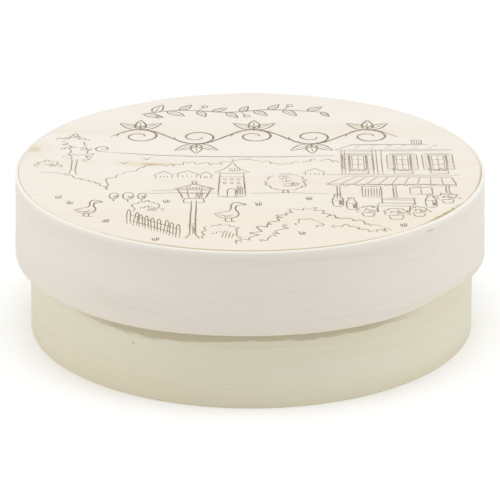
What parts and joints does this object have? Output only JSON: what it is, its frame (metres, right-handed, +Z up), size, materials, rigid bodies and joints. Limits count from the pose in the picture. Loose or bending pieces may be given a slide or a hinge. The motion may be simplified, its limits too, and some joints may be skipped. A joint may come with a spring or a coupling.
{
  "type": "wooden cheese box",
  "caption": "Round veneer box for a soft cheese, closed: a lid hoop with an inset disc sits over a narrower base, with the wrapped cheese inside.",
  "frame": {"origin": "on the base hoop's axis, on the surface that the box stands on", "axes": "+Z up along the box's axis, through the lid; +X to the right and -Y towards a viewer who sees the drawing on the lid the right way up; both lapped seams are on the +Y side"},
  "size_m": [0.1159, 0.1168, 0.0404],
  "materials": {
    "pale_veneer": "matte",
    "cream_veneer": "matte",
    "lid_board": "matte",
    "base_board": "matte",
    "staple_steel": "satin",
    "waxed_paper": "satin",
    "rind": "matte"
  },
  "bodies": {
    "root": {"base_disc": "base_board", "base_hoop": "cream_veneer", "base_staple_1": "staple_steel", "base_staple_2": "staple_steel", "base_staple_3": "staple_steel", "cheese_wheel": "rind", "lid_disc": "lid_board", "lid_hoop": "pale_veneer", "lid_staple_1": "staple_steel", "lid_staple_2": "staple_steel", "wrapping_paper": "waxed_paper"}
  },
  "joints": []
}
